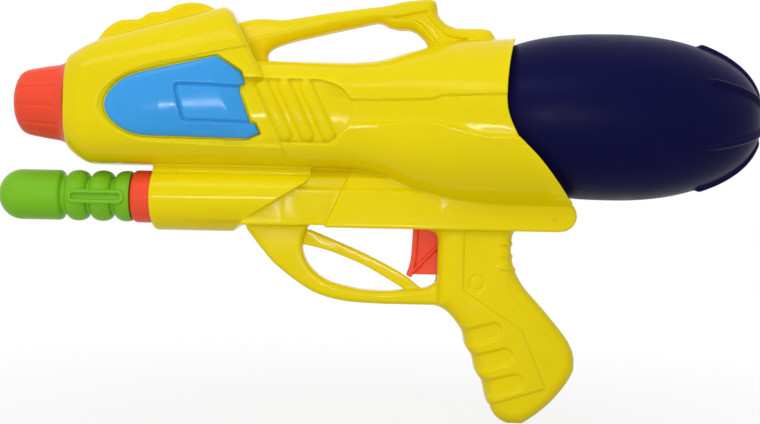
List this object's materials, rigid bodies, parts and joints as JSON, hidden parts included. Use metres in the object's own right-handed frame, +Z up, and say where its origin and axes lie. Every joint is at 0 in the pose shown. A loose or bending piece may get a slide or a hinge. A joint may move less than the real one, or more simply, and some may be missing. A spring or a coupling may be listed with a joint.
{
  "type": "pump water squirter",
  "caption": "Hand-held toy squirter: moulded shell with grip, trigger, guard and carry handle, hand pump under the barrel, screw-on round tank behind",
  "frame": {"origin": "bottom centre of the bounding box, on the parting plane, level with the flat under the grip", "axes": "+Z up, -X along the muzzle, Y across; the shell halves meet on Y = 0"},
  "size_m": [0.424, 0.0926, 0.2358],
  "materials": {
    "yellow_plastic": "gloss moulded",
    "orange_plastic": "satin gloss moulded",
    "blue_plastic": "satin gloss moulded",
    "green_plastic": "satin gloss moulded",
    "navy_plastic": "satin blow-moulded",
    "white_plastic": "as moulded",
    "clear_hose": "soft hose",
    "black_rubber": "matt",
    "spring_steel": "plated"
  },
  "bodies": {
    "body": {"left_shell": "yellow_plastic", "right_shell": "yellow_plastic", "left_side_panel": "blue_plastic", "right_side_panel": "blue_plastic", "nozzle_cap": "orange_plastic", "nozzle_jet": "white_plastic", "outlet_hose": "clear_hose", "valve_body": "white_plastic", "valve_spring": "spring_steel", "trigger_pin": "spring_steel", "feed_hose": "clear_hose", "tank_socket": "white_plastic", "pickup_tube": "clear_hose", "intake_filter": "white_plastic", "air_hose": "clear_hose", "pump_cylinder": "white_plastic", "pump_end_cap": "orange_plastic", "check_valve_body": "white_plastic", "check_valve_flap": "black_rubber", "shell_screw_1": "spring_steel", "shell_screw_2": "spring_steel", "shell_screw_3": "spring_steel", "shell_screw_4": "spring_steel", "shell_screw_5": "spring_steel", "shell_screw_6": "spring_steel", "shell_screw_7": "spring_steel", "shell_screw_8": "spring_steel", "shell_screw_9": "spring_steel"},
    "pump": {"pump_handle": "green_plastic", "pump_rod": "white_plastic", "piston": "white_plastic", "piston_seal": "black_rubber"},
    "trigger": {"trigger": "orange_plastic"},
    "plunger": {"valve_plunger": "white_plastic", "valve_seal": "black_rubber"},
    "neck_ring": {"tank_gasket": "black_rubber"},
    "tank": {"tank": "navy_plastic"}
  },
  "joints": [
    {"name": "pump_slide", "type": "slide", "parent": "body", "child": "pump", "axis": [-1, 0, 0], "range_m": [0, 0.06]},
    {"name": "trigger_pull", "type": "hinge", "parent": "body", "child": "trigger", "pos_m": [0.026, 0, 0.1135], "axis": [0, -1, 0], "range_deg": [0, 12], "stiffness_Nm_per_rad": 0.4},
    {"name": "plunger_slide", "type": "slide", "parent": "body", "child": "plunger", "axis": [-1, 0, 0], "range_m": [0, 0.0024], "deforming": ["valve_spring"]},
    {"name": "tank_draw", "type": "slide", "parent": "body", "child": "neck_ring", "axis": [1, 0, 0], "range_m": [0, 0.0061]},
    {"name": "tank_turn", "type": "hinge", "parent": "neck_ring", "child": "tank", "pos_m": [0.03, 0, 0.172], "axis": [1, 0, 0], "range_deg": [0, 540]}
  ],
  "couplings": [
    {"joint": "plunger_slide", "follows": "trigger_pull", "m_per_rad": 0.011},
    {"joint": "tank_draw", "follows": "tank_turn", "m_per_rad": 0.00063662}
  ]
}
